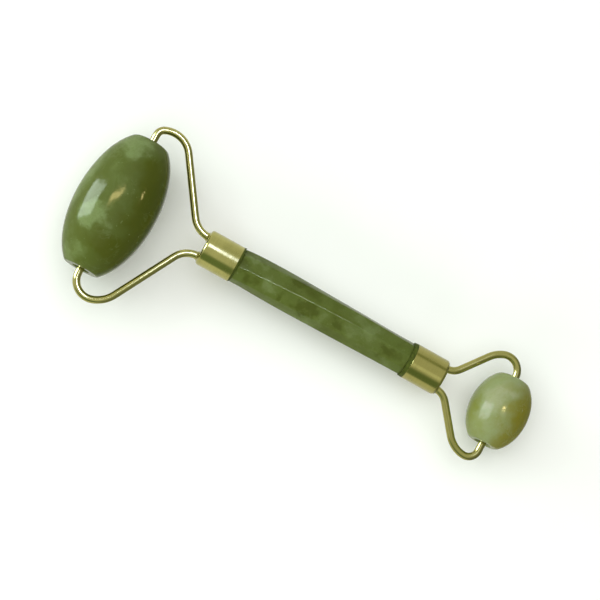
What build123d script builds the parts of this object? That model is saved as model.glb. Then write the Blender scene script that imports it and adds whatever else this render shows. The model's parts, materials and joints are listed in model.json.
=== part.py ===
from build123d import *

import os
from math import asin, cos, degrees, sin

os.makedirs("parts", exist_ok=True)

# A hand-held stone face roller. An eight-sided stone handle has a brass cup glued on the round
# spigot at each end.
# A bent brass wire stands out of each cup and carries a barrel-shaped stone roller that spins
# freely on the wire's two inturned ends: a large roller at one end, a small one at the other.
# The object lies on a table on both rollers, which are not the same size, so its long axis
# slopes down a little towards the small end.
# Own coordinates, before it is laid down: X along the handle towards the small roller,
# Y along the roller axes, Z out of the plane of the two wire frames. Lengths are in mm.

# --- Driving dimensions -----------------------------------------------------------------------
LARGE_AXIS_X = -62.65  # the large roller's axis
SMALL_AXIS_X = 60.1  # the small roller's axis

LARGE_ROLLER_R = 11.85  # at its waist
LARGE_ROLLER_HALF_OVAL = 22.5  # half the length of the oval that its flat ends are cut from
LARGE_ROLLER_LENGTH = 40.6
LARGE_ROLLER_Y = -2.15  # its middle: the large wire frame is not quite symmetrical
LARGE_ROLLER_EDGE = 0.9

SMALL_ROLLER_R = 8.67
SMALL_ROLLER_HALF_OVAL = 11.92
SMALL_ROLLER_LENGTH = 20.75
SMALL_ROLLER_Y = -0.15
SMALL_ROLLER_EDGE = 2.2

BORE_R = 2.1  # drilled right through each roller
BORE_CHAMFER = 0.6

BUSH_R = 2.07  # glued in the bore with a thin film round it
BUSH_BORE_R = 1.16  # running fit on the wire
LARGE_BUSH_LENGTH = 6.0
SMALL_BUSH_LENGTH = 5.0
BUSH_RECESS = 1.5  # below the roller's end face
BUSH_LEAD_IN = 0.3

WIRE_R = 1.1
PIN_GAP = 1.0  # the wire's end stops this far short of the bush's inner end
PIN_CHAMFER = 0.25

HANDLE_SIDES = 8
HANDLE_CORNER_R = 5.22  # axis to corner, before the corners are softened
HANDLE_CORNER_SOFTENING = 0.7
HANDLE_SHOULDER_CHAMFER = 0.25
HANDLE_TURN = 7.0  # degrees from a corner facing straight up, towards -Y
SPIGOT_R = 4.6  # the handle's ends are ground round and a little smaller, for the cups
SPIGOT_IN_FERRULE = 5.8
SPIGOT_CHAMFER = 0.5
LARGE_SHOULDER_GAP = 0.5  # from each cup's mouth to the handle's shoulder, filled with glue
SMALL_SHOULDER_GAP = 1.1

LARGE_MOUTH_X = -25.6  # the cups' open ends
SMALL_MOUTH_X = 30.7
FERRULE_LENGTH = 10.4
FERRULE_R = 5.36
FERRULE_WALL = 0.4
FERRULE_EDGE = 0.9  # rounding of the closed end
RIM_EDGE = 0.12
WIRE_HOLE_R = 1.13
LARGE_CUP_Y = -0.25  # this cup, and the spigot in it, sit a little off the handle's axis
SMALL_CUP_Y = 0.0

BRIDGE_DEPTH = 2.7  # the wire's cross run, from the cup's closed face
BRIDGE_BEND_R = 2.0
BRAZE_R = 1.65
BRAZE_HEIGHT = 0.6
BRAZE_LIP = 0.1  # its thickness at the thin end
BEAD_STEP = 0.05  # the glue bead at a mouth stands this much inside the cup's outer face

# Corners of the wire's centre line, from the cup to the roller, with the bend radius at each.
LARGE_UPPER_CORNERS = [(-39.8, 2.7), (-55.8, 25.9), (LARGE_AXIS_X, 22.6)]
LARGE_UPPER_BENDS = [7.1, 7.1, 1.95]
LARGE_LOWER_CORNERS = [(-39.95, -3.4), (-52.4, -27.0), (LARGE_AXIS_X, -31.45)]
LARGE_LOWER_BENDS = [6.5, 8.4, 5.2]
SMALL_UPPER_CORNERS = [(43.4, 3.1), (51.7, 13.75), (SMALL_AXIS_X, 17.9)]
SMALL_UPPER_BENDS = [4.6, 8.1, 4.35]
SMALL_LOWER_CORNERS = [(43.5, -3.4), (53.0, -15.65), (SMALL_AXIS_X, -16.7)]
SMALL_LOWER_BENDS = [4.8, 7.8, 3.15]

# --- Derived places ---------------------------------------------------------------------------
LARGE_FACE_X = LARGE_MOUTH_X - FERRULE_LENGTH
SMALL_FACE_X = SMALL_MOUTH_X + FERRULE_LENGTH
LARGE_PIN_DEPTH = BUSH_RECESS + LARGE_BUSH_LENGTH - PIN_GAP
SMALL_PIN_DEPTH = BUSH_RECESS + SMALL_BUSH_LENGTH - PIN_GAP
LARGE_LEGS_Y = (LARGE_UPPER_CORNERS[0][1], LARGE_LOWER_CORNERS[0][1])
SMALL_LEGS_Y = (SMALL_UPPER_CORNERS[0][1], SMALL_LOWER_CORNERS[0][1])


def frame_points(upper, lower, bridge_x, roller_y, half_length, pin_depth):
    """The centre line of one wire frame, from its upper pin round the bridge to its lower pin."""
    axis_x = upper[-1][0]
    pin_end = half_length - pin_depth
    return [
        (axis_x, roller_y + pin_end),
        *reversed(upper),
        (bridge_x, upper[0][1]),
        (bridge_x, lower[0][1]),
        *lower,
        (axis_x, roller_y - pin_end),
    ]


def frame_bends(upper, lower):
    """The bend radii in the same order as the corners of frame_points."""
    return [*reversed(upper), BRIDGE_BEND_R, BRIDGE_BEND_R, *lower]


LARGE_POINTS = frame_points(
    LARGE_UPPER_CORNERS,
    LARGE_LOWER_CORNERS,
    LARGE_FACE_X + BRIDGE_DEPTH,
    LARGE_ROLLER_Y,
    LARGE_ROLLER_LENGTH / 2,
    LARGE_PIN_DEPTH,
)
LARGE_BENDS = frame_bends(LARGE_UPPER_BENDS, LARGE_LOWER_BENDS)
SMALL_POINTS = frame_points(
    SMALL_UPPER_CORNERS,
    SMALL_LOWER_CORNERS,
    SMALL_FACE_X - BRIDGE_DEPTH,
    SMALL_ROLLER_Y,
    SMALL_ROLLER_LENGTH / 2,
    SMALL_PIN_DEPTH,
)
SMALL_BENDS = frame_bends(SMALL_UPPER_BENDS, SMALL_LOWER_BENDS)

# The widest part of the object along Y is the large wire frame.
with BuildLine() as reach:
    FilletPolyline(*LARGE_POINTS, radius=LARGE_BENDS)
REACH = reach.line.bounding_box()

# The object is laid on the table: both rollers touch z = 0, and the origin is on the table
# under the middle of the box round the whole object.
SLOPE = asin((LARGE_ROLLER_R - SMALL_ROLLER_R) / (SMALL_AXIS_X - LARGE_AXIS_X))
LEFT_X = LARGE_AXIS_X * cos(SLOPE) - LARGE_ROLLER_R
RIGHT_X = SMALL_AXIS_X * cos(SLOPE) + SMALL_ROLLER_R
BODY = Plane(
    origin=(
        -(LEFT_X + RIGHT_X) / 2,
        -(REACH.min.Y + REACH.max.Y) / 2,
        LARGE_ROLLER_R + LARGE_AXIS_X * sin(SLOPE),
    ),
    x_dir=(cos(SLOPE), 0, -sin(SLOPE)),
    z_dir=(sin(SLOPE), 0, cos(SLOPE)),
)


def square_to_handle(x, side=1, y=0.0):
    """The plane across the handle at x, centred on y, facing the small end (1) or the large (-1)."""
    centre = BODY.from_local_coords(Vector(x, y, 0))
    return Plane(origin=centre, x_dir=BODY.y_dir, z_dir=BODY.x_dir * side)


def beside_axis(x, y):
    """The plane of the wire frames, with its own origin moved to (x, y)."""
    return Plane(
        origin=BODY.from_local_coords(Vector(x, y, 0)), x_dir=BODY.x_dir, z_dir=BODY.z_dir
    )


def finish(part, name):
    """Labels a finished piece and writes its file."""
    part.label = name
    export_step(part, f"parts/{name}.step")


# --- Handle -----------------------------------------------------------------------------------
LARGE_SHOULDER_X = LARGE_MOUTH_X + LARGE_SHOULDER_GAP
SMALL_SHOULDER_X = SMALL_MOUTH_X - SMALL_SHOULDER_GAP
with BuildPart() as handle:
    with BuildSketch(square_to_handle(LARGE_SHOULDER_X)) as octagon:
        RegularPolygon(HANDLE_CORNER_R, HANDLE_SIDES, rotation=90 + HANDLE_TURN)
        fillet(octagon.vertices(), HANDLE_CORNER_SOFTENING)
    extrude(amount=SMALL_SHOULDER_X - LARGE_SHOULDER_X)
    shoulders = handle.faces().filter_by(GeomType.PLANE).sort_by(Axis.X)
    chamfer(shoulders[0].edges() + shoulders[-1].edges(), HANDLE_SHOULDER_CHAMFER)
    for shoulder_x, gap, side, cup_y in (
        (LARGE_SHOULDER_X, LARGE_SHOULDER_GAP, -1, LARGE_CUP_Y),
        (SMALL_SHOULDER_X, SMALL_SHOULDER_GAP, 1, SMALL_CUP_Y),
    ):
        with BuildSketch(square_to_handle(shoulder_x, side, cup_y)):
            Circle(SPIGOT_R)
        extrude(amount=gap + SPIGOT_IN_FERRULE)
    spigot_ends = handle.faces().filter_by(GeomType.PLANE).sort_by(Axis.X)
    chamfer(spigot_ends[0].edges() + spigot_ends[-1].edges(), SPIGOT_CHAMFER)
finish(handle.part, "handle")


# --- Wire frames ------------------------------------------------------------------------------
def wire_frame(points, bends):
    """One round wire, bent to the centre line, with its two cut ends chamfered."""
    with BuildPart() as frame:
        with BuildLine(BODY) as centre_line:
            FilletPolyline(*points, radius=bends)
        with BuildSketch(Plane(centre_line.line @ 0, z_dir=centre_line.line % 0)):
            Circle(WIRE_R)
        sweep()
        chamfer(frame.faces().filter_by(GeomType.PLANE).edges(), PIN_CHAMFER)
    return frame.part


large_wire = wire_frame(LARGE_POINTS, LARGE_BENDS)
small_wire = wire_frame(SMALL_POINTS, SMALL_BENDS)
finish(large_wire, "large_wire_frame")
finish(small_wire, "small_wire_frame")


# --- Ferrules: drawn brass cups with two wire holes -------------------------------------------
def ferrule(mouth_x, side, cup_y, legs_y):
    """A thin cup from its mouth to its closed end, which lies towards side."""
    with BuildPart() as cup:
        with BuildSketch(square_to_handle(mouth_x, side, cup_y)):
            Circle(FERRULE_R)
        extrude(amount=FERRULE_LENGTH)
        ends = cup.faces().filter_by(GeomType.PLANE).sort_by(Axis.X, reverse=side < 0)
        mouth, closed = ends[0], ends[-1]
        fillet(closed.edges(), FERRULE_EDGE)
        offset(amount=-FERRULE_WALL, openings=mouth)
        with BuildSketch(square_to_handle(mouth_x + side * FERRULE_LENGTH, side)):
            with Locations([(y, 0) for y in legs_y]):
                Circle(WIRE_HOLE_R)
        extrude(amount=-2 * FERRULE_WALL, mode=Mode.SUBTRACT)
        rim = cup.faces().filter_by(GeomType.PLANE).sort_by(Axis.X, reverse=side < 0)[0]
        fillet(rim.edges().sort_by(SortBy.RADIUS)[-1], RIM_EDGE)
    return cup.part


large_cup = ferrule(LARGE_MOUTH_X, -1, LARGE_CUP_Y, LARGE_LEGS_Y)
small_cup = ferrule(SMALL_MOUTH_X, 1, SMALL_CUP_Y, SMALL_LEGS_Y)
finish(large_cup, "large_ferrule")
finish(small_cup, "small_ferrule")


# --- Glue that fills each cup round the spigot and the gap from the mouth to the shoulder -------
def adhesive(mouth_x, side, gap, cup_y, wire):
    """Everything inside the cup that is neither stone nor wire, and the bead outside its mouth."""
    inner_r = FERRULE_R - FERRULE_WALL
    with BuildPart() as glue:
        with BuildSketch(square_to_handle(mouth_x, side, cup_y)):
            Circle(inner_r)
        extrude(amount=FERRULE_LENGTH - FERRULE_WALL)
        bottom = glue.faces().filter_by(GeomType.PLANE).sort_by(Axis.X, reverse=side < 0)[-1]
        fillet(bottom.edges(), FERRULE_EDGE - FERRULE_WALL)
        with BuildSketch(square_to_handle(mouth_x, side, cup_y)):
            Circle(FERRULE_R - BEAD_STEP)
        with BuildSketch(square_to_handle(mouth_x - side * gap, side)):
            Circle(HANDLE_CORNER_R)
        loft()
        add(handle.part, mode=Mode.SUBTRACT)
        add(wire, mode=Mode.SUBTRACT)
    return glue.part


large_glue = adhesive(LARGE_MOUTH_X, -1, LARGE_SHOULDER_GAP, LARGE_CUP_Y, large_wire)
small_glue = adhesive(SMALL_MOUTH_X, 1, SMALL_SHOULDER_GAP, SMALL_CUP_Y, small_wire)
finish(large_glue, "large_ferrule_adhesive")
finish(small_glue, "small_ferrule_adhesive")


# --- Braze: a hollow-sided collar round each wire where it leaves the cup ----------------------
def braze(face_x, side, legs_y, wire):
    """Two collars on the cup's closed face, one round each leg of the wire."""
    with BuildPart() as collars:
        for y in legs_y:
            centre = BODY.from_local_coords(Vector(face_x, y, 0))
            with BuildSketch(Plane(centre, x_dir=BODY.x_dir * side, z_dir=BODY.z_dir)):
                with BuildLine():
                    foot = Line((0, 0), (0, BRAZE_R))
                    flank = RadiusArc(foot @ 1, (BRAZE_HEIGHT, WIRE_R + BRAZE_LIP), -BRAZE_HEIGHT)
                    Polyline(flank @ 1, (BRAZE_HEIGHT, 0), (0, 0))
                make_face()
            revolve(axis=Axis(centre, BODY.x_dir))
        add(wire, mode=Mode.SUBTRACT)
    return collars.part


finish(braze(LARGE_FACE_X, -1, LARGE_LEGS_Y, large_wire), "large_frame_braze")
finish(braze(SMALL_FACE_X, 1, SMALL_LEGS_Y, small_wire), "small_frame_braze")

# --- Rollers ----------------------------------------------------------------------------------
LARGE_PLANE = beside_axis(LARGE_AXIS_X, LARGE_ROLLER_Y)
SMALL_PLANE = beside_axis(SMALL_AXIS_X, SMALL_ROLLER_Y)


def roller(plane, waist_r, half_oval, length, edge):
    """An oval barrel with flat ends and a bore right through it, turned about the plane's Y."""
    half = length / 2
    swing = degrees(asin(half / half_oval))
    with BuildPart() as barrel:
        with BuildSketch(plane) as section:
            with BuildLine():
                side_arc = EllipticalCenterArc(
                    (0, 0), waist_r, half_oval, start_angle=-swing, arc_size=2 * swing
                )
                Polyline(side_arc @ 1, (BORE_R, half), (BORE_R, -half), side_arc @ 0)
            make_face()
            corners = section.vertices().group_by(Axis(plane.origin, plane.x_dir))
            chamfer(corners[0], BORE_CHAMFER)
            fillet(corners[-1], edge)
        revolve(axis=Axis(plane.origin, plane.y_dir))
    return barrel.part


large_roller = roller(
    LARGE_PLANE, LARGE_ROLLER_R, LARGE_ROLLER_HALF_OVAL, LARGE_ROLLER_LENGTH, LARGE_ROLLER_EDGE
)
small_roller = roller(
    SMALL_PLANE, SMALL_ROLLER_R, SMALL_ROLLER_HALF_OVAL, SMALL_ROLLER_LENGTH, SMALL_ROLLER_EDGE
)
finish(large_roller, "large_roller")
finish(small_roller, "small_roller")


# --- Bushes: plastic sleeves at both ends of each bore ----------------------------------------
def bush(plane, roller_length, bush_length, end):
    """A sleeve just inside the roller's upper (end 1) or lower (end -1) face."""
    outer_y = roller_length / 2 - BUSH_RECESS
    mouth = Plane(
        origin=plane.from_local_coords(Vector(0, end * outer_y, 0)),
        x_dir=plane.x_dir,
        z_dir=plane.y_dir * end,
    )
    with BuildPart() as sleeve:
        with BuildSketch(mouth):
            Circle(BUSH_R)
            Circle(BUSH_BORE_R, mode=Mode.SUBTRACT)
        extrude(amount=-bush_length)
        outer_face = sleeve.faces().filter_by(GeomType.PLANE).sort_by(Axis.Y)[-1 if end > 0 else 0]
        chamfer(outer_face.edges().sort_by(SortBy.RADIUS)[0], BUSH_LEAD_IN)
    return sleeve.part


for end, place in ((1, "upper"), (-1, "lower")):
    finish(bush(LARGE_PLANE, LARGE_ROLLER_LENGTH, LARGE_BUSH_LENGTH, end), f"large_bush_{place}")
    finish(bush(SMALL_PLANE, SMALL_ROLLER_LENGTH, SMALL_BUSH_LENGTH, end), f"small_bush_{place}")
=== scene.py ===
import json
import math

import bpy
import numpy as np
from mathutils import Matrix, Vector, noise


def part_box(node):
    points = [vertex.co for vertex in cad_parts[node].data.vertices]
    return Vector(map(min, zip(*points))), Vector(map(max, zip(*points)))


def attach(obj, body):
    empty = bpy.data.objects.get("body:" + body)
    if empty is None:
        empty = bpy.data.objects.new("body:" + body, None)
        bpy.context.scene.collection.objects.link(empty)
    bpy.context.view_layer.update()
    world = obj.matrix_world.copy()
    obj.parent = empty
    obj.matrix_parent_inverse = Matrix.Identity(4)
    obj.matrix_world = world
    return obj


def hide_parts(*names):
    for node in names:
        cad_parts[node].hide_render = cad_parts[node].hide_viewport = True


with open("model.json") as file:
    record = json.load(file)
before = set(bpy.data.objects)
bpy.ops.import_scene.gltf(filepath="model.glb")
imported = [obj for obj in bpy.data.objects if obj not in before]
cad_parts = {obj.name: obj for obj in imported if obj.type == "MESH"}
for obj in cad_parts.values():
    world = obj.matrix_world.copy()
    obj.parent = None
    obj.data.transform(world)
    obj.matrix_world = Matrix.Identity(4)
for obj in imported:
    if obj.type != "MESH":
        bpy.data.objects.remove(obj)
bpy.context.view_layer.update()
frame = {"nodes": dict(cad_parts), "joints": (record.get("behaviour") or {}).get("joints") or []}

# A two-ended stone face roller lying on a pale floor. The rollers, the handle and the wire frames
# are finely meshed here. The ferrules, the braze, the glue and the bushes are the CAD's own shapes,
# and only get their materials here. Pieces are built in the object's own coordinates, in mm: X along
# the handle towards the small roller, Y along the roller axes, Z out of the plane of the wire frames.

# --- Sizes, in mm --------------------------------------------------------------------------------
# The places and the main sizes are the CAD's. The rollers' rims, how far corners and ends are
# softened, and all that is uneven in the stone and the wires are this script's own.
MM = 0.001
LARGE_AXIS_X = -62.65
SMALL_AXIS_X = 60.1
LARGE_HALF_OVAL = 22.5
LARGE_EDGES = (2.4, 0.9)  # how round the upper (+Y) and lower rims are ground
SMALL_HALF_OVAL = 11.92
SMALL_EDGES = (2.4, 2.0)
BORE_R = 2.1
BORE_CHAMFER = 0.6
BORE_LAND = 0.1  # a nearly flat ring round the bore's chamfer, sunk by BORE_SINK at its inner edge
BORE_SINK = 0.02
ROLLER_WAVES = [(0.05, 9.0), (0.016, 3.2)]  # left by grinding: (height, width), from wide to fine
ROLLER_LOWERED = 0.03  # the middle of the waves lies this far inside the CAD's surface
WAVES_FROM = 0.4  # outside the bore's chamfer, where the waves begin
WAVES_GROW = 1.5  # and over how much radius they reach their full height
WIRE_R = 1.1
WIRE_STEP = 0.24  # between the wire's rings
WIRE_FINE = 3  # the wire's middle line is first drawn this many times finer
WIRE_UNEVENNESS = (0.006, 1.5)  # (height as a share of the radius, width)
PIN_DEPTHS = {"large": 6.5, "small": 5.5}
PIN_ROUNDING = 0.3
HANDLE_SIDES = 8
HANDLE_CORNER_R = 5.22
HANDLE_SOFTENING = 0.75
HANDLE_TURN = 7.0
HANDLE_CHAMFER = 0.25
HANDLE_RINGS = 160
FACET_CROWN = 0.05
HANDLE_WAVES = [(0.05, 7.0), (0.015, 2.2)]  # (height, width), as for the rollers
HANDLE_WAVES_ALONG = 0.6  # the wide ones are stretched along X: this many per one across
HANDLE_LOWERED = 0.02
HANDLE_SWELL = [(-25, -0.08), (-7, 0.27), (13, 0.06), (29, -0.19)]  # hand ground: (X, extra radius)
HANDLE_TWIST = [(-25, 7.0), (-12, -1.0), (2, -8.2), (29, -9.5)]  # (X, degrees added to HANDLE_TURN)
HANDLE_BEND = -0.23  # the axis leaves the straight by this much in Y at the large shoulder
HANDLE_BEND_LENGTH = 6.0
SPIGOT_R = 4.6
SPIGOT_LENGTH = 5.8
SPIGOT_CHAMFER = 0.5
MOUTH_X = {"large": -25.6, "small": 30.7}
SHOULDER_GAP = {"large": 0.5, "small": 1.1}
FERRULE_LENGTH = 10.4
CUP_Y = {"large": -0.25, "small": 0.0}
BRIDGE_DEPTH = 2.7
BRIDGE_BEND = 2.0
UPPER_CORNERS = {
    "large": [(-39.8, 2.7), (-55.8, 25.9), (LARGE_AXIS_X, 22.6)],
    "small": [(43.4, 3.1), (51.7, 13.75), (SMALL_AXIS_X, 17.9)],
}
UPPER_BENDS = {"large": [7.1, 7.1, 1.95], "small": [4.6, 8.1, 4.35]}
LOWER_CORNERS = {
    "large": [(-39.95, -3.4), (-52.4, -27.0), (LARGE_AXIS_X, -31.45)],
    "small": [(43.5, -3.4), (53.0, -15.65), (SMALL_AXIS_X, -16.7)],
}
LOWER_BENDS = {"large": [6.5, 8.4, 5.2], "small": [4.8, 7.8, 3.15]}
SIDE = {"large": -1, "small": 1}  # the way from the handle to each roller along X

# --- The object's own coordinates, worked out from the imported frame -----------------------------
joints = {j["name"]: j for j in frame["joints"]}
large_centre = Vector(joints["large_roller_spin"]["pos_m"])
small_centre = Vector(joints["small_roller_spin"]["pos_m"])
ferrule_low, ferrule_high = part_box("small_ferrule")
along = Vector((small_centre.x - large_centre.x, 0, small_centre.z - large_centre.z)).normalized()
across = Vector((0, 1, 0))
outward = along.cross(across)
origin = large_centre - along * LARGE_AXIS_X * MM
origin.y = (ferrule_low.y + ferrule_high.y) / 2
TURN = Matrix((along, across, outward)).transposed()  # turns own directions into the row frame's
OWN = TURN.to_4x4()
OWN.translation = origin
OWN = OWN @ Matrix.Scale(MM, 4)


def size_of(node):
    """A CAD node's box, in mm."""
    low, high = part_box(node)
    return (high - low) / MM


# --- Mesh helpers --------------------------------------------------------------------------------
def add_mesh(name, points, faces, matrix=OWN):
    """A smooth-shaded object from points in mm, placed by the matrix."""
    points = np.asarray(points, float)
    turn = np.array(matrix)[:3, :3]
    shift = np.array(matrix)[:3, 3]
    mesh = bpy.data.meshes.new(name)
    mesh.from_pydata((points @ turn.T + shift).tolist(), [], [list(map(int, f)) for f in faces])
    mesh.validate()
    mesh.shade_smooth()
    piece = bpy.data.objects.new(name, mesh)
    bpy.context.scene.collection.objects.link(piece)
    return piece


def grid_faces(rows, columns, closed_rows=False):
    """Quads between neighbouring rings of points; each ring closes on itself."""
    faces = []
    for i in range(rows if closed_rows else rows - 1):
        a, b = i * columns, (i + 1) % rows * columns
        for j in range(columns):
            k = (j + 1) % columns
            faces.append((a + j, a + k, b + k, b + j))
    return faces


def arc_points(cx, cy, radius, start, end, count):
    """Points on an arc between two angles in degrees."""
    angles = np.radians(np.linspace(start, end, count))
    return [(cx + radius * math.cos(a), cy + radius * math.sin(a)) for a in angles]


def line_points(a, b, count):
    """Points on a straight line, without its two ends."""
    return [tuple(np.add(a, np.subtract(b, a) * i / (count + 1))) for i in range(1, count + 1)]


def wobble(point, size, seed):
    """Smooth noise from -1 to 1 that changes over about size mm; each seed has its own."""
    return noise.noise(Vector(point) / size + Vector((seed * 17.3, seed * 5.1, seed * 9.7)))


def round_angles(count):
    """The angles of count points evenly spaced round a circle."""
    return [2 * math.pi * k / count for k in range(count)]


# --- Rollers -------------------------------------------------------------------------------------
def oval_side(radius, half_oval):
    """A roller's side, part of an ellipse: from the ellipse's angle to the point and normal."""

    def at(angle):
        c, s = math.cos(angle), math.sin(angle)
        normal = np.array([c / radius, s / half_oval])
        return (radius * c, half_oval * s), tuple(normal / np.linalg.norm(normal))

    return at


def rim_start(side, half, edge, halvings=60):
    """The angle on the side where a rim of radius edge runs into it, found by halving."""
    low, high = 0.0, math.pi / 2
    for _ in range(halvings):
        middle = (low + high) / 2
        (_, y), (_, ny) = side(middle)
        low, high = (middle, high) if y - edge * ny < half - edge else (low, middle)
    return low


def roller_outline(side, half, edge, side_points=90):
    """Half of a bored roller's outline, as (radius, height), from its waist to its bore."""
    end = rim_start(side, half, edge)
    (r, _), (nr, ny) = side(end)
    land = (BORE_R + BORE_CHAMFER + BORE_LAND, half)
    mouth = (BORE_R + BORE_CHAMFER, half - BORE_SINK)
    throat = (BORE_R, half - BORE_CHAMFER)
    points = [side(end * i / side_points)[0] for i in range(side_points)]
    facing = math.degrees(math.atan2(ny, nr))
    points += arc_points(r - edge * nr, half - edge, edge, facing, 90, 12)
    points += line_points(points[-1], land, 10)
    points += [land, mouth]
    points += line_points(mouth, throat, 2)
    points += [throat]
    points += line_points(throat, (BORE_R, 0), 12)
    return points


def roller(name, side, half, edges, centre_x, centre_y, seed, segments=224):
    """A bored stone barrel, ground by hand: its side is not perfectly round, its bore is."""
    upper, lower = (roller_outline(side, half, edge) for edge in edges)
    outline = upper[:-1] + [(BORE_R, 0)] + [(r, -y) for r, y in reversed(lower[1:-1])]
    points = []
    for r, y in outline:
        share = min(1.0, max(0.0, (r - BORE_R - BORE_CHAMFER - WAVES_FROM) / WAVES_GROW))
        for a in round_angles(segments):
            c, s = math.cos(a), math.sin(a)
            spot = (r * c, y, r * s)
            ground = sum(h * wobble(spot, w, seed + i) for i, (h, w) in enumerate(ROLLER_WAVES))
            ground_r = r + share * (ground - ROLLER_LOWERED)
            points.append((centre_x + ground_r * c, centre_y + y, ground_r * s))
    return add_mesh(name, points, grid_faces(len(outline), segments, closed_rows=True))


large_size, small_size = size_of("large_roller"), size_of("small_roller")
large_half, small_half = large_size.y / 2, small_size.y / 2
large_side = oval_side(large_size.z / 2, LARGE_HALF_OVAL)
small_side = oval_side(small_size.z / 2, SMALL_HALF_OVAL)
large_y = (large_centre.y - origin.y) / MM
small_y = (small_centre.y - origin.y) / MM
large_roller = roller(
    "large_jade_roller", large_side, large_half, LARGE_EDGES, LARGE_AXIS_X, large_y, seed=3
)
small_roller = roller(
    "small_jade_roller", small_side, small_half, SMALL_EDGES, SMALL_AXIS_X, small_y, seed=8, segments=192
)


# --- Handle --------------------------------------------------------------------------------------
def octagon(softening, corner_points=7, facet_points=9):
    """One cross section of the handle, as (y, z): soft corners and slightly crowned facets."""
    step = 360 / HANDLE_SIDES
    apothem = HANDLE_CORNER_R * math.cos(math.radians(step / 2))
    corner_at = (apothem - softening) / math.cos(math.radians(step / 2))
    corners = []
    for i in range(HANDLE_SIDES):
        a = 90 + HANDLE_TURN + i * step
        cx, cy = corner_at * math.cos(math.radians(a)), corner_at * math.sin(math.radians(a))
        corners.append(arc_points(cx, cy, softening, a - step / 2, a + step / 2, corner_points))
    section = []
    for i, corner in enumerate(corners):
        section += corner
        a, b = corner[-1], corners[(i + 1) % HANDLE_SIDES][0]
        facing = math.radians(90 + HANDLE_TURN + (i + 0.5) * step)
        for j, (y, z) in enumerate(line_points(a, b, facet_points)):
            from_middle = 2 * (j + 1) / (facet_points + 1) - 1
            crown = FACET_CROWN * (1 - from_middle**2)
            section.append((y + crown * math.cos(facing), z + crown * math.sin(facing)))
    return np.array(section)


def ground_ring(section, x, start, wide_seed=21, fine_seed=22):
    """The handle's section at x: swollen towards the middle, twisted and set over by hand grinding."""
    swell = np.polyval(np.polyfit(*zip(*HANDLE_SWELL), 3), x)
    turn = math.radians(np.polyval(np.polyfit(*zip(*HANDLE_TWIST), 3), x))
    c, s = math.cos(turn), math.sin(turn)
    ring = section @ np.array([[c, s], [-s, c]]) * (1 + swell / HANDLE_CORNER_R)
    bend = HANDLE_BEND * max(0.0, 1 - (x - start) / HANDLE_BEND_LENGTH) ** 2
    out = []
    (wide_height, wide), (fine_height, fine) = HANDLE_WAVES
    for y, z in ring:
        off = wide_height * wobble((x * HANDLE_WAVES_ALONG, y, z), wide, wide_seed)
        off += fine_height * wobble((x, y, z), fine, fine_seed)
        off -= HANDLE_LOWERED
        far = math.hypot(y, z)
        out.append((y * (1 + off / far) + bend, z * (1 + off / far)))
    return np.array(out)


def stone_handle():
    """The octagonal bar between its shoulders, with a round spigot at each end."""
    section = octagon(HANDLE_SOFTENING)
    angles = np.arctan2(section[:, 1], section[:, 0])
    unit = np.stack([np.cos(angles), np.sin(angles)], 1)
    start = MOUTH_X["large"] + SHOULDER_GAP["large"]
    end = MOUTH_X["small"] - SHOULDER_GAP["small"]
    rings = []
    for i in range(HANDLE_RINGS + 1):
        x = start + HANDLE_CHAMFER + (end - start - 2 * HANDLE_CHAMFER) * i / HANDLE_RINGS
        rings.append((x, ground_ring(section, x, start)))
    for which, shoulder in (("large", start), ("small", end)):
        side = SIDE[which]
        spigot = unit * SPIGOT_R + np.array([CUP_Y[which], 0])
        nose = unit * (SPIGOT_R - SPIGOT_CHAMFER) + np.array([CUP_Y[which], 0])
        tip = MOUTH_X[which] + side * SPIGOT_LENGTH
        face = ground_ring(section, shoulder, start)
        rim = face * (1 - HANDLE_CHAMFER / HANDLE_CORNER_R)
        inner = 0.5 * rim + 0.5 * spigot
        steps = [(shoulder, rim), (shoulder, inner), (shoulder, spigot)]
        steps += [(tip - side * SPIGOT_CHAMFER, spigot), (tip, nose)]
        if which == "large":
            rings = steps[::-1] + rings
        else:
            rings = rings + steps
    points = [(x, y, z) for x, ring in rings for y, z in ring]
    faces = grid_faces(len(rings), len(section))
    for base, flip in ((0, False), ((len(rings) - 1) * len(section), True)):
        loop = [base + j for j in range(len(section))]
        faces.append(loop if flip else loop[::-1])
    return add_mesh("jade_handle", points, faces)


handle = stone_handle()


# --- Wire frames ---------------------------------------------------------------------------------
def filleted(points, radii, step, arc_steps=40):
    """Straight runs joined by tangent arcs: points about step apart, and how far along each is."""
    line = [np.array(points[0], float)]
    for i, radius in enumerate(radii):
        before, corner, after = (np.array(p, float) for p in points[i : i + 3])
        u = (before - corner) / np.linalg.norm(before - corner)
        v = (after - corner) / np.linalg.norm(after - corner)
        half_angle = math.acos(np.clip(u @ v, -1, 1)) / 2
        reach = radius / math.tan(half_angle)
        centre = corner + (u + v) / np.linalg.norm(u + v) * radius / math.sin(half_angle)
        a, b = corner + u * reach - centre, corner + v * reach - centre
        sweep = math.atan2(a[0] * b[1] - a[1] * b[0], a @ b)
        for k in range(arc_steps + 1):
            t = sweep * k / arc_steps
            c, s = math.cos(t), math.sin(t)
            line.append(centre + np.array([a[0] * c - a[1] * s, a[0] * s + a[1] * c]))
    line.append(np.array(points[-1], float))
    line = np.array(line)
    lengths = np.concatenate([[0], np.cumsum(np.linalg.norm(np.diff(line, axis=0), axis=1))])
    even = np.linspace(0, lengths[-1], int(lengths[-1] / step) + 1)
    return np.stack([np.interp(even, lengths, line[:, k]) for k in (0, 1)], 1), even


def eased(line, spread=7):
    """The line with its changes of curvature eased, as in bent wire; its ends stay."""
    weights = np.exp(-0.5 * (np.arange(-3 * spread, 3 * spread + 1) / spread) ** 2)
    weights /= weights.sum()
    padded = np.pad(line, ((3 * spread, 3 * spread), (0, 0)), mode="reflect", reflect_type="odd")
    return np.stack([np.convolve(padded[:, k], weights, mode="valid") for k in (0, 1)], 1)


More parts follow.
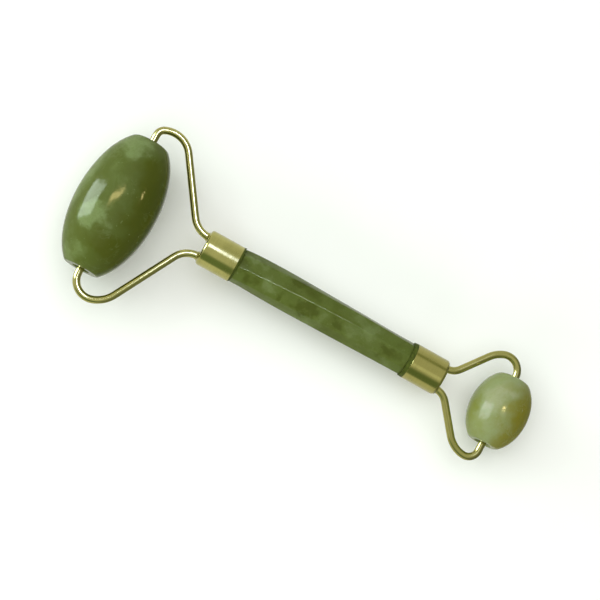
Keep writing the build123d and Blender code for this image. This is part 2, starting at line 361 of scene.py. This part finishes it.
def store_drawn(piece, values):
    """Keeps each point's distance along and round the metal, in mm, for the lines along it: drawing marks,
    and painted reflection streaks.
    """
    attribute = piece.data.attributes.new("drawn", "FLOAT_VECTOR", "POINT")
    attribute.data.foreach_set("vector", np.asarray(values, np.float32).ravel())


def wire_corners(which, axis_x, roller_y, half):
    """The corners of a wire's middle line from its upper pin's end to its lower one's, as (x, y)."""
    upper, lower = UPPER_CORNERS[which], LOWER_CORNERS[which]
    face_x = MOUTH_X[which] + SIDE[which] * FERRULE_LENGTH
    bridge_x = face_x - SIDE[which] * BRIDGE_DEPTH
    pin_end = half - PIN_DEPTHS[which]
    corners = [(axis_x, roller_y + pin_end), *reversed(upper), (bridge_x, upper[0][1])]
    corners += [(bridge_x, lower[0][1]), *lower, (axis_x, roller_y - pin_end)]
    return corners


def rounded_end(steps=4):
    """The rounding of a wire's end, as (how far in from the end, radius there)."""
    turns = np.linspace(0, math.pi / 2, steps + 1)
    flat_r = WIRE_R - PIN_ROUNDING
    return [(PIN_ROUNDING * (1 - math.cos(t)), flat_r + PIN_ROUNDING * math.sin(t)) for t in turns]


def wire_frame(which, axis_x, roller_y, half, seed, ring=36):
    """One round wire, from its upper pin round the bridge in the ferrule to its lower pin."""
    corners = wire_corners(which, axis_x, roller_y, half)
    bends = [*reversed(UPPER_BENDS[which]), BRIDGE_BEND, BRIDGE_BEND, *LOWER_BENDS[which]]
    fine, along_wire = filleted(corners, bends, WIRE_STEP / WIRE_FINE)
    keep = np.arange(0, len(fine), WIRE_FINE)
    line, run = eased(fine)[keep], along_wire[keep]
    tangent = np.gradient(line, axis=0)
    tangent /= np.linalg.norm(tangent, axis=1)[:, None]
    normal = np.stack([-tangent[:, 1], tangent[:, 0]], 1)
    points, drawn = [], []
    uneven, width = WIRE_UNEVENNESS

    def add_ring(centre, n, radius, distance):
        for a in round_angles(ring):
            c, s = math.cos(a), math.sin(a)
            r = radius * (1 + uneven * wobble((distance / 2, 2 * c, 2 * s), width, seed))
            points.append((centre[0] + n[0] * c * r, centre[1] + n[1] * c * r, s * r))
            drawn.append((distance, a * WIRE_R, 0))

    for depth, r in rounded_end():
        add_ring(line[0] + tangent[0] * depth, normal[0], r, run[0] + depth)
    start = int(PIN_ROUNDING / WIRE_STEP) + 2
    for i in range(start, len(line) - start):
        add_ring(line[i], normal[i], WIRE_R, run[i])
    for depth, r in reversed(rounded_end()):
        add_ring(line[-1] - tangent[-1] * depth, normal[-1], r, run[-1] - depth)
    rows = len(points) // ring
    faces = [f[::-1] for f in grid_faces(rows, ring)]
    faces.append(list(range(ring)))
    faces.append(list(range((rows - 1) * ring, rows * ring))[::-1])
    piece = add_mesh(f"{which}_brass_wire", points, faces)
    store_drawn(piece, drawn)
    return piece


large_wire = wire_frame("large", LARGE_AXIS_X, large_y, large_half, seed=31)
small_wire = wire_frame("small", SMALL_AXIS_X, small_y, small_half, seed=37)


# --- Materials -----------------------------------------------------------------------------------
class Nodes:
    """A short way to write the node tree of its owner, a material or the world."""

    def __init__(self, owner):
        self.owner = owner
        owner.use_nodes = True
        self.tree = owner.node_tree
        self.tree.nodes.clear()

    def add(self, kind, settings=None, **inputs):
        """A new node with its settings and inputs; a _ in an input's name stands for a space."""
        node = self.tree.nodes.new(kind)
        for key, value in (settings or {}).items():
            setattr(node, key, value)
        for key, value in inputs.items():
            self.feed(node.inputs[key.replace("_", " ")], value)
        return node

    def feed(self, socket, value):
        """Links another node's output to the socket, or sets the socket's own value."""
        if isinstance(value, bpy.types.NodeSocket):
            self.tree.links.new(value, socket)
        else:
            socket.default_value = value

    def noise(self, vector, scale, detail=4.0, roughness=0.55, distortion=0.0):
        """Soft noise about 0.5; the scale is in waves per mm where the vector is in mm."""
        node = self.add("ShaderNodeTexNoise", Vector=vector, Scale=scale, Detail=detail)
        node.inputs["Roughness"].default_value = roughness
        node.inputs["Distortion"].default_value = distortion
        return node.outputs["Fac"]

    def ramp(self, value, stops):
        """A colour that eases from stop to stop as the value grows; a stop is (value, colour)."""
        node = self.add("ShaderNodeValToRGB", Fac=value)
        node.color_ramp.interpolation = "EASE"
        elements = node.color_ramp.elements
        while len(elements) < len(stops):
            elements.new(0.5)
        for element, (place, colour) in zip(elements, stops):
            element.position = place
            element.color = (*colour, 1)
        return node.outputs["Color"]

    def mix(self, share, a, b):
        """Colour a where the share is 0, colour b where it is 1."""
        node = self.add("ShaderNodeMix", {"data_type": "RGBA"})
        self.feed(node.inputs["Factor"], share)
        for socket, value in ((node.inputs[6], a), (node.inputs[7], b)):
            self.feed(socket, (*value, 1) if isinstance(value, tuple) else value)
        return node.outputs[2]

    def math(self, operation, a, b=0.0, kind="ShaderNodeMath"):
        node = self.add(kind, {"operation": operation})
        self.feed(node.inputs[0], a)
        self.feed(node.inputs[1], b)
        return node.outputs[0]

    def vector_math(self, operation, a, b):
        return self.math(operation, a, b, "ShaderNodeVectorMath")

    def spread(self, value, low, high, to_low, to_high):
        """Goes smoothly from to_low to to_high as the value goes from low to high."""
        node = self.add("ShaderNodeMapRange", {"interpolation_type": "SMOOTHSTEP"}, Value=value)
        for key, number in (("From Min", low), ("From Max", high), ("To Min", to_low), ("To Max", to_high)):
            node.inputs[key].default_value = number
        return node.outputs["Result"]

    def bump(self, height, strength, distance):
        node = self.add("ShaderNodeBump", Height=height, Strength=strength, Distance=distance)
        return node.outputs["Normal"]

    def millimetres(self, offset=(0, 0, 0)):
        """The point on the object in the row frame, in mm, which moves with its body."""
        place = self.add("ShaderNodeTexCoord").outputs["Object"]
        node = self.add("ShaderNodeMapping", Vector=place)
        node.inputs["Scale"].default_value = (1 / MM, 1 / MM, 1 / MM)
        node.inputs["Location"].default_value = offset
        return node.outputs["Vector"]

    def patch(self, place, centre, size):
        """1 at the middle of a soft blob and 0 outside it; its centre is in the object's own mm."""
        middle = OWN @ Vector(centre) / MM
        node = self.add("ShaderNodeMapping", Vector=place)
        node.inputs["Scale"].default_value = [1 / s for s in size]
        node.inputs["Location"].default_value = [-m / s for m, s in zip(middle, size)]
        far = self.add("ShaderNodeVectorMath", {"operation": "LENGTH"}, Vector=node.outputs["Vector"])
        return self.spread(far.outputs["Value"], 0.25, 1.0, 1.0, 0.0)

    def drifted(self, place, scale, reach):
        """The place moved about by soft noise, up to half of reach mm."""
        node = self.add("ShaderNodeTexNoise", Vector=place, Scale=scale, Detail=4.0)
        centred = self.vector_math("SUBTRACT", node.outputs["Color"], (0.5, 0.5, 0.5))
        shift = self.vector_math("MULTIPLY", centred, (reach, reach, reach))
        return self.vector_math("ADD", place, shift)

    def surface(self, **inputs):
        """Ends a material's tree with its shader, and gives the material."""
        shader = self.add("ShaderNodeBsdfPrincipled", **inputs)
        self.add("ShaderNodeOutputMaterial", Surface=shader.outputs["BSDF"])
        return self.owner


def jade(
    name, dark, middle, light, olive_and_shade, offset, tone_and_shade_patches, stain_and_shade_blobs, gloss, shine, cloud_size, contrast, scatter
):
    """Polished cloudy stone: blobs of green, darker staining, milky veins, specks and fine grain.

    A blob is a centre and a size in the object's own mm, and how much lighter it makes the stone;
    a stain blob has how strong the stain is. On the large roller and at the handle's small end some
    of these blobs are painted light and painted shade. The offset moves the stone's noise about, so
    that no two pieces have the same, and gloss is the least and greatest roughness.
    """
    n = Nodes(bpy.data.materials.new(name))
    place = n.millimetres(offset=offset)
    moved = n.drifted(place, 0.6 / cloud_size, 1.6 * cloud_size)
    in_patches = n.drifted(n.millimetres(), 0.24, 9.0)
    clouds_and_shading = cloudiness_and_shading(n, moved, in_patches, tone_and_shade_patches, cloud_size, contrast)
    colour = n.ramp(clouds_and_shading, [(0.28, dark), (0.50, middle), (0.74, light)])
    colour = n.mix(staining_and_shade(n, place, in_patches, stain_and_shade_blobs), colour, olive_and_shade)
    colour = n.mix(veins(n, place, moved), colour, light)
    grain = n.spread(n.noise(place, 1.4, 5.0, 0.7), 0.35, 0.7, 0.0, 0.35)
    colour = n.mix(grain, colour, n.mix(0.6, colour, dark))
    specks = n.spread(n.noise(place, 1.0, 2.0, 0.4), 0.70, 0.76, 0.0, 0.5)
    colour = n.mix(specks, colour, light)
    fine_waves = n.math("MULTIPLY", n.noise(place, 2.5, 3.0), 0.12)
    height = n.math("ADD", n.noise(place, 0.45, 2.0), fine_waves)
    return n.surface(
        Base_Color=colour,
        Roughness=n.spread(n.noise(place, 0.35, 4.0, 0.6), 0.3, 0.75, *gloss),
        IOR=1.55,
        Specular_IOR_Level=shine,
        Subsurface_Weight=scatter,
        Subsurface_Radius=(0.6, 1.0, 0.45),
        Subsurface_Scale=2 * MM,
        Normal=n.bump(height, 0.35, 0.12 * MM),
    )


def cloudiness_and_shading(n, moved, in_patches, tone_and_shade_patches, cloud_size, contrast):
    """How light the stone is, about 0.5: cloudy noise, made lighter or darker in the given blobs.

    On the large roller these blobs are painted light on the window's side and painted shade on the far
    side.
    """
    clouds_and_shading = n.noise(moved, 1.0 / cloud_size, 5.0, 0.55, 0.3)
    clouds_and_shading = n.math("ADD", n.math("MULTIPLY", clouds_and_shading, contrast), 0.5 - 0.5 * contrast)
    for centre, size, lighter in tone_and_shade_patches:
        change = n.math("MULTIPLY", n.patch(in_patches, centre, size), lighter)
        clouds_and_shading = n.math("ADD", clouds_and_shading, change)
    return clouds_and_shading


def staining_and_shade(n, place, in_patches, stain_and_shade_blobs):
    """How much staining the stone has: a few faint marks anywhere, and the given strong blobs.

    The strong dark blobs on the large roller and at the handle's small end are painted shade.
    """
    olive_and_shade = n.spread(n.noise(place, 0.07, 3.0, 0.5, 0.8), 0.54, 0.76, 0.0, 0.4)
    for centre, size, strength in stain_and_shade_blobs:
        strong = n.math("MULTIPLY", n.patch(in_patches, centre, size), strength)
        olive_and_shade = n.math("MAXIMUM", olive_and_shade, strong)
    return olive_and_shade


def veins(n, place, moved):
    """Thin milky veins, where a noise crosses its middle, in some places only."""
    from_middle = n.math("ABSOLUTE", n.math("SUBTRACT", n.noise(moved, 0.16, 6.0, 0.6, 1.2), 0.5))
    thin = n.spread(from_middle, 0.0, 0.03, 0.28, 0.0)
    some_places = n.spread(n.noise(place, 0.11, 2.0), 0.48, 0.66, 0.0, 1.0)
    return n.math("MULTIPLY", thin, some_places)


def brass(name, bright, dull, line_scale, line_depth, rough, drawn=False):
    """Polished brass: fine lines left by working it, and tarnish in soft blotches.

    The lines follow the wire if it is drawn, and otherwise the piece's own directions. On the wires
    the lines are deep enough to paint dark reflected streaks too, as painted reflection. The two
    numbers in rough are for clean and for tarnished metal.
    """
    n = Nodes(bpy.data.materials.new(name))
    place = n.millimetres()
    worked = place
    if drawn:
        worked = n.add("ShaderNodeAttribute", {"attribute_name": "drawn"}).outputs["Vector"]
    lines_at = n.add("ShaderNodeMapping", Vector=worked)
    lines_at.inputs["Scale"].default_value = line_scale
    lines = n.noise(lines_at.outputs["Vector"], 1.0, 3.0, 0.6)
    tarnish = n.spread(n.noise(place, 0.16, 4.0, 0.55, 0.4), 0.42, 0.72, 0.0, 0.45)
    colour = n.mix(tarnish, bright, dull)
    colour = n.mix(n.spread(lines, 0.35, 0.7, 0.0, line_depth), colour, dull)
    rough_lines = n.spread(lines, 0.3, 0.7, 0.0, 0.06)
    roughness = n.math("ADD", rough_lines, n.spread(tarnish, 0.0, 0.5, *rough))
    height = n.math("ADD", lines, n.math("MULTIPLY", n.noise(place, 0.9, 3.0), 0.4))
    normal = n.bump(height, 0.25, 0.012 * MM)
    return n.surface(
        Base_Color=colour,
        Metallic=1.0,
        Roughness=roughness,
        Coat_Weight=0.6,
        Coat_Roughness=0.12,
        Normal=normal,
        Coat_Normal=normal,
    )


def dull_solid(name, base, fleck, scale, rough):
    """Set glue or moulded plastic: mottled, with a faintly uneven surface."""
    n = Nodes(bpy.data.materials.new(name))
    spots = n.noise(n.millimetres(), scale, 4.0, 0.6)
    return n.surface(
        Base_Color=n.mix(n.spread(spots, 0.35, 0.7, 0.0, 1.0), base, fleck),
        Roughness=n.spread(spots, 0.3, 0.7, rough - 0.08, rough + 0.1),
        Specular_IOR_Level=0.12,
        Normal=n.bump(spots, 0.4, 0.08 * MM),
    )


jade_large = jade(
    "jade_large",
    dark=(0.069, 0.083, 0.008),
    middle=(0.084, 0.108, 0.020),
    light=(0.160, 0.212, 0.076),
    olive_and_shade=(0.062, 0.075, 0.006),
    offset=(13.0, 4.0, 7.0),
    # Left (-X) blobs are painted light from the window, right (+X) ones painted shade, over cloudy stone.
    tone_and_shade_patches=[
        ((LARGE_AXIS_X + 8, -3, 5), (11, 27, 12), -0.26),
        ((LARGE_AXIS_X + 1, -14, 8), (12, 4, 9), -0.14),
        ((LARGE_AXIS_X - 2, -19.5, 5), (8, 5, 7), 0.08),
        ((LARGE_AXIS_X + 3, 8, 9), (7, 9, 7), -0.14),
        ((LARGE_AXIS_X - 11, 2, 3), (6, 20, 9), 0.13),
        ((LARGE_AXIS_X - 4, -9, 10), (7, 6, 6), 0.24),
        ((LARGE_AXIS_X - 4, 14, 7), (9, 6, 8), 0.19),
    ],
    # This dark stain on the right side is painted shade, the darkest place away from the window.
    stain_and_shade_blobs=[((LARGE_AXIS_X + 8, 2, 6), (5, 9, 9), 0.6)],
    gloss=(0.09, 0.15),
    shine=0.18,
    cloud_size=12.0,
    contrast=0.55,
    scatter=0.25,
)
jade_handle = jade(
    "jade_handle",
    dark=(0.062, 0.077, 0.012),
    middle=(0.096, 0.125, 0.027),
    light=(0.140, 0.178, 0.062),
    olive_and_shade=(0.062, 0.075, 0.008),
    offset=(41.0, 9.0, 2.0),
    tone_and_shade_patches=[
        ((-21, 2.5, 4), (6, 3, 4), 0.28),
        ((-20, -2.5, 4), (4, 2.5, 4), -0.16),
        ((-14.5, -1.6, 4), (5, 2.6, 4), 0.14),
        ((-10.2, -2.2, 4), (2, 2.2, 4), -0.18),
        ((-7.6, 3.0, 4), (3, 2.2, 4), -0.24),
        ((-2.6, -1.8, 4), (6, 2.8, 4), -0.32),
        ((2.4, -1.8, 4), (3.2, 2.6, 4), 0.09),
        ((7.2, -1.7, 4), (3.6, 2.6, 4), -0.24),
        ((11.6, -2.2, 4), (2.8, 2.2, 4), 0.09),
        ((14, 2.5, 4), (7, 3, 4), 0.16),
        ((23.5, -1.6, 4), (5.5, 3, 4), -0.28),
    ],
    # This dark stain at the handle's small end, by the ferrule's mouth, is painted shade.
    stain_and_shade_blobs=[((30, 0, 0), (4, 7, 7), 0.5)],
    gloss=(0.10, 0.17),
    shine=0.08,
    cloud_size=9.0,
    contrast=0.8,
    scatter=0.25,
)
jade_small = jade(
    "jade_small",
    dark=(0.185, 0.205, 0.045),
    middle=(0.236, 0.273, 0.124),
    light=(0.292, 0.314, 0.173),
    olive_and_shade=(0.190, 0.172, 0.016),
    offset=(3.0, 27.0, 15.0),
    tone_and_shade_patches=[
        ((SMALL_AXIS_X - 4, 1.5, 7), (6, 8, 6), 0.22),
        ((SMALL_AXIS_X - 7, -1, 3), (3, 7, 6), -0.10),
        ((SMALL_AXIS_X + 1, -7, 6), (6, 5, 6), 0.12),
    ],
    stain_and_shade_blobs=[
        ((SMALL_AXIS_X + 5.5, 0, 5), (8.5, 15, 11), 1.0),
        ((SMALL_AXIS_X + 6, -8, 4), (8, 8, 12), 0.9),
    ],
    gloss=(0.14, 0.22),
    shine=0.18,
    cloud_size=14.0,
    contrast=0.75,
    scatter=0.35,
)
BRASS = (0.62, 0.57, 0.18)
OLD_BRASS = (0.40, 0.37, 0.09)
# A darker copy of the brass for the small wire: painted shade.
SHADED_WIRE_BRASS = (0.58, 0.53, 0.16)
# A darker copy of the brass for the small ferrule: painted shade.
SHADED_CUP_BRASS = (0.50, 0.445, 0.125)
WIRE_TARNISH = (0.44, 0.41, 0.12)
# The small wire's tarnish, darker still: tarnish and painted shade.
SHADED_TARNISH = (0.32, 0.30, 0.07)
ROUND_THE_CUP = (5.0, 0.1, 0.1)  # lines per mm along X, Y and Z
ALONG_THE_WIRE = (0.06, 2.2, 2.2)  # and here along and round the wire
UNWORKED = (1.5, 1.5, 1.5)
# On both wires the lines along them are deep enough to paint dark reflected streaks: painted reflection.
large_wire_brass = brass(
    "large_wire_brass", BRASS, WIRE_TARNISH, ALONG_THE_WIRE, 0.5, (0.09, 0.19), drawn=True
)
# The small wire gets the darker copies above: painted shade.
small_wire_brass = brass(
    "small_wire_brass", SHADED_WIRE_BRASS, SHADED_TARNISH, ALONG_THE_WIRE, 0.7, (0.13, 0.24), drawn=True
)
large_cup = brass("large_cup_brass", BRASS, OLD_BRASS, ROUND_THE_CUP, 0.22, (0.15, 0.24))
# The small ferrule gets the darker copy above: painted shade.
small_cup = brass("small_cup_brass", SHADED_CUP_BRASS, OLD_BRASS, ROUND_THE_CUP, 0.4, (0.17, 0.26))
braze_metal = brass("braze_metal", BRASS, OLD_BRASS, UNWORKED, 0.3, (0.24, 0.36))
glue = dull_solid(
    "set_glue", base=(0.046, 0.060, 0.007), fleck=(0.074, 0.094, 0.014), scale=1.1, rough=0.62
)
plastic = dull_solid(
    "bush_plastic", base=(0.030, 0.032, 0.026), fleck=(0.055, 0.055, 0.045), scale=2.0, rough=0.5
)


def dress(piece, material):
    """Gives a piece one material in place of any it has."""
    piece.data.materials.clear()
    piece.data.materials.append(material)


def dress_node(node, material):
    """Gives a CAD node the material through its object's material slots."""
    for slot in frame["nodes"][node].material_slots:
        slot.material = material


def stand_for(piece, node, body, material):
    """The piece takes the CAD node's place on its body."""
    dress(piece, material)
    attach(piece, body)
    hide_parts(node)


stand_for(large_roller, "large_roller", "large_roller", jade_large)
stand_for(small_roller, "small_roller", "small_roller", jade_small)
stand_for(handle, "handle", "handle_frame", jade_handle)
stand_for(large_wire, "large_wire_frame", "handle_frame", large_wire_brass)
stand_for(small_wire, "small_wire_frame", "handle_frame", small_wire_brass)
for end, cup_brass in (("large", large_cup), ("small", small_cup)):
    dress_node(f"{end}_ferrule", cup_brass)
    dress_node(f"{end}_frame_braze", braze_metal)
    dress_node(f"{end}_ferrule_adhesive", glue)
    for place in ("upper", "lower"):
        dress_node(f"{end}_bush_{place}", plastic)


# --- Floor, light and camera ---------------------------------------------------------------------
FLOOR_REACH = 3000
WINDOW_PANE = ((-1020, 22, 363), (0, 1, 0), (470, 720))  # place, long way and size, in own mm
OVERHEAD_STRIP = ((0, 270, 1000), (0, 1, 0), (300, 200))
DAYLIGHT = (0.84, 1.0, 0.90)
WARM = (1.0, 0.79, 0.33)
WHITE = (0.86, 0.92, 1.0)
COOL = (0.80, 0.88, 1.0)
PALE_BLUE = (0.62, 0.72, 1.0)
BLUE = (0.40, 0.45, 1.0)
ROOM_PALE = (0.57, 0.59, 0.53)
ROOM_BEAM = (0.24, 0.27, 0.15)
ROOM_DIM = (0.16, 0.22, 0.12)
ROOM_FLOOR = (0.66, 0.68, 0.60)
ROOM_FAR = (0.20, 0.22, 0.17)
CAMERA_AT = Vector((-41.93, -73.0, 424.94))  # in own mm
LOOKING = Vector((0.08533, 0.16832, -0.98204))
CAMERA_UP = Vector((-0.48608, 0.86741, 0.10644))
CAMERA_LENS = 92.17


def floor():
    """A large pale sheet under the object, which is not mirrored in it."""
    points = [(x, y, 0) for x in (-FLOOR_REACH, FLOOR_REACH) for y in (-FLOOR_REACH, FLOOR_REACH)]
    sheet = add_mesh("floor", points, [(0, 2, 3, 1)], Matrix.Scale(MM, 4))
    n = Nodes(bpy.data.materials.new("floor_white"))
    tone = n.spread(n.noise(n.millimetres(), 0.02, 3.0), 0.3, 0.7, 0.0, 1.0)
    colour = n.mix(tone, (0.90, 0.90, 0.89), (0.92, 0.92, 0.91))
    dress(sheet, n.surface(Base_Color=colour, Roughness=0.75))
    sheet.visible_glossy = False


def area_light(name, place, long_way, size, radiance, colour):
    """A soft box facing the object, in its own mm; size is along the long way and across it."""
    light = bpy.data.lights.new(name, "AREA")
    light.shape = "RECTANGLE"
    light.size, light.size_y = (s * MM for s in size)
    light.energy = radiance * math.pi * light.size * light.size_y
    light.color = colour
    lamp = bpy.data.objects.new(name, light)
    bpy.context.scene.collection.objects.link(lamp)
    away = Vector(place).normalized()
    first = (Vector(long_way) - away * away.dot(Vector(long_way))).normalized()
    facing = Matrix((first, away.cross(first), away)).transposed()
    lamp.matrix_world = Matrix.Translation(OWN @ Vector(place)) @ (TURN @ facing).to_4x4()
    return lamp


def glint(name, place, long_way, size, radiance, colour, pieces):
    """A soft box that is only mirrored, and only in these pieces."""
    lamp = area_light(name, place, long_way, size, radiance, colour)
    lamp.visible_diffuse = False
    lamp.visible_camera = False
    mirrors = bpy.data.collections.new(name + "_mirrors")
    for piece in pieces:
        mirrors.objects.link(piece)
    lamp.light_linking.receiver_collection = mirrors


def room():
    """A pale room, dim and greenish on the photographer's side (-Y) and far from the window (+X).

    A darker beam crosses it beyond the object, right of the middle.
    """
    n = Nodes(bpy.data.worlds.new("room"))
    bpy.context.scene.world = n.owner
    way = n.add("ShaderNodeTexCoord").outputs["Generated"]
    x, y, z = n.add("ShaderNodeSeparateXYZ", Vector=way).outputs

    def blend(part, low, high, colour_low, colour_high):
        return n.mix(n.spread(part, low, high, 0.0, 1.0), colour_low, colour_high)

    walls = blend(y, -0.75, -0.50, ROOM_DIM, ROOM_PALE)
    beam = blend(y, 0.62, 0.72, walls, ROOM_BEAM)
    beam = blend(y, 0.82, 0.92, beam, ROOM_PALE)
    walls = blend(x, 0.08, 0.15, walls, beam)
    colour = blend(z, -0.05, 0.12, ROOM_FLOOR, walls)
    colour = blend(x, 0.25, 0.75, colour, ROOM_FAR)
    shader = n.add("ShaderNodeBackground", Color=colour)
    n.add("ShaderNodeOutputWorld", Surface=shader.outputs["Background"])


def studio():
    """Daylight from a window on the left, soft light from above and the front, and what is mirrored."""
    room()
    soft = [
        area_light("window", (-1210, 26, 430), (0, 1, 0), (560, 860), 5.0, DAYLIGHT),
        area_light("fill", (-260, 130, 1260), (1, 0, 0), (2400, 2200), 1.06, (0.98, 0.99, 1.0)),
        area_light("front", (-200, -1100, 420), (1, 0, 0), (1300, 500), 3.0, (1.0, 1.0, 0.98)),
    ]
    for lamp in soft:
        lamp.visible_glossy = False
    cups = [frame["nodes"]["large_ferrule"], frame["nodes"]["small_ferrule"]]
    wires = [large_wire, small_wire]
    # What each piece mirrors: the window's panes, bright strips overhead and warm lamps.
    glint("pane", *WINDOW_PANE, 13.0, DAYLIGHT, [large_roller, handle])
    glint("brass_pane", *WINDOW_PANE, 17.0, PALE_BLUE, wires + cups)
    glint("far_pane", (-900, -200, 590), (0, 1, 0), (640, 900), 9.5, COOL, [small_roller])
    glint("cup_strip", *OVERHEAD_STRIP, 5.8, BLUE, cups[:1])
    glint("wire_strip", *OVERHEAD_STRIP, 21.0, BLUE, wires[:1])
    glint("thin_strip", *OVERHEAD_STRIP, 3.0, BLUE, wires[1:])
    glint("ridge_strip", (0, 250, 1000), (0, 1, 0), (90, 320), 120.0, DAYLIGHT, [handle])
    glint("dim_strip", (230, -330, 1000), (0, 1, 0), (330, 200), 0.3, WHITE, cups[1:])
    glint("lamp", (-260, 195, 1000), (0.93, 0.36, 0), (420, 150), 21.0, WARM, [large_roller])
    glint("far_lamp", (960, 450, 720), (0, 1, 0), (130, 120), 24.0, WARM, [large_roller])
    glint("near_lamp", (86, 137, 1000), (1, 0, 0), (190, 150), 55.0, WARM, [small_roller])


def camera():
    """Looks down on the object from about 80 degrees, a little from the large roller's lower end."""
    data = bpy.data.cameras.new("camera")
    data.lens = CAMERA_LENS
    data.sensor_width = 36
    eye = bpy.data.objects.new("camera", data)
    bpy.context.scene.collection.objects.link(eye)
    forward = (TURN @ LOOKING).normalized()
    right = forward.cross(TURN @ CAMERA_UP).normalized()
    place = Matrix((right, right.cross(forward), -forward)).transposed().to_4x4()
    place.translation = OWN @ CAMERA_AT
    eye.matrix_world = place
    bpy.context.scene.camera = eye


floor()
studio()
camera()
bpy.context.scene.view_settings.view_transform = "Standard"
